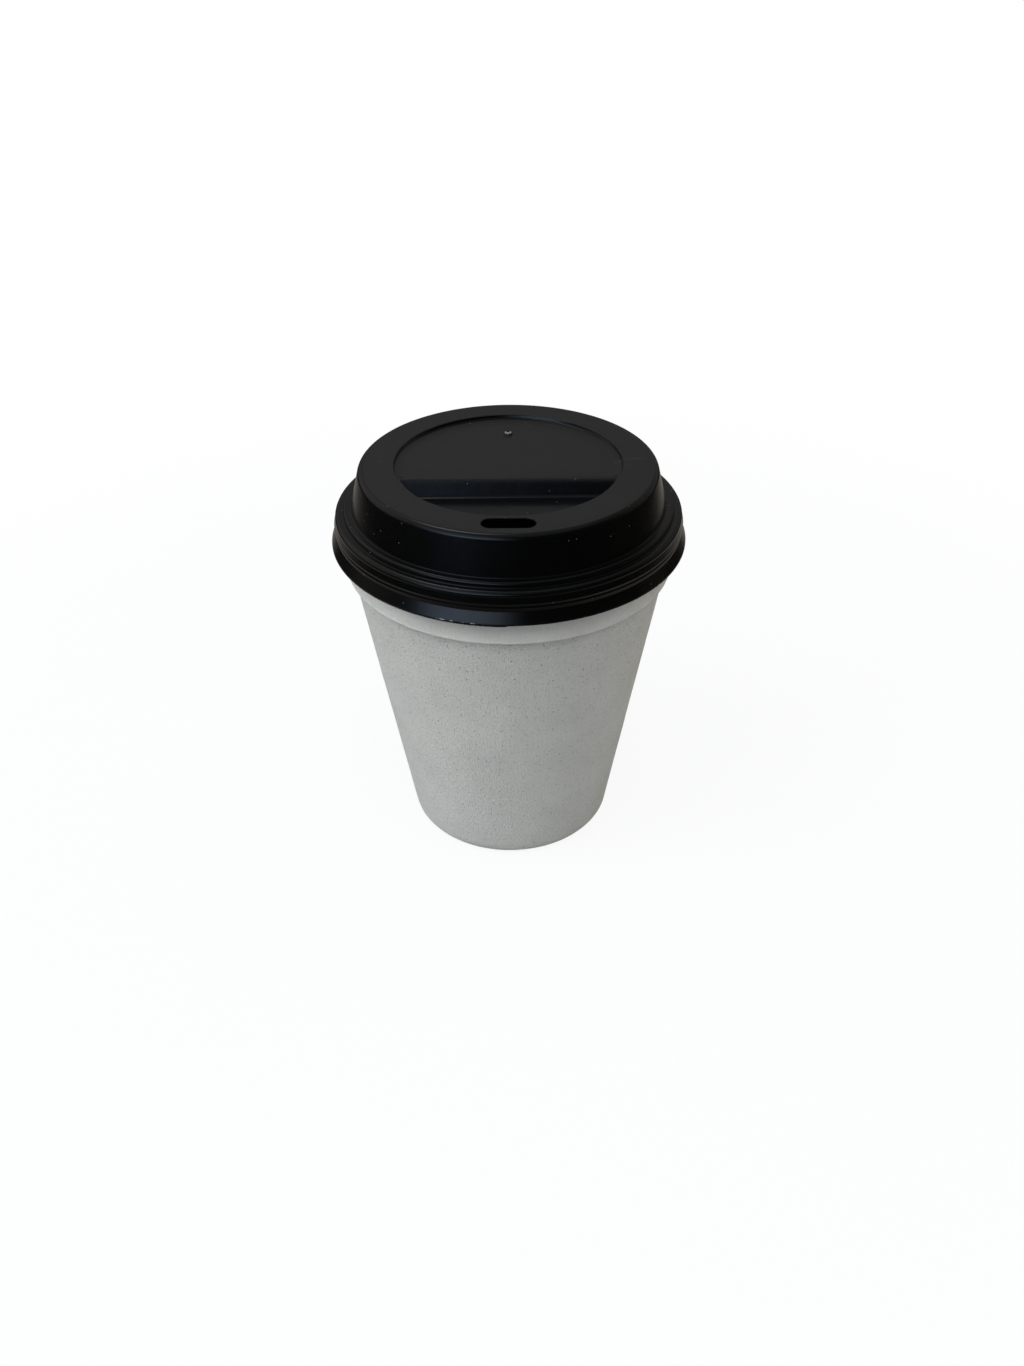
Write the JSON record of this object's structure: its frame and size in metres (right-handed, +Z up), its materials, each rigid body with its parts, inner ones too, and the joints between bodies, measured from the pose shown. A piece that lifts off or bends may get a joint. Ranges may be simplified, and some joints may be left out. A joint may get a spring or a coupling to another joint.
{
  "type": "disposable coffee cup with sip lid",
  "caption": "Small tapered take-away cup of moulded fibre with a stepped collar under its rim, closed by a black press-on sip lid with a sunk panel and drinking well.",
  "frame": {"origin": "centre of the circle that the cup stands on", "axes": "+Z up along the cup's axis, -Y towards the sip slot, +X to the drinker's right"},
  "size_m": [0.084, 0.084, 0.0984],
  "materials": {
    "fibre": "matte",
    "lid_plastic": "satin"
  },
  "bodies": {
    "cup": {"cup": "fibre"},
    "lid": {"lid": "lid_plastic"}
  },
  "joints": [
    {"name": "lid_lift", "type": "slide", "parent": "cup", "child": "lid", "axis": [0, 0, 1], "range_m": [0, 0.025]}
  ]
}
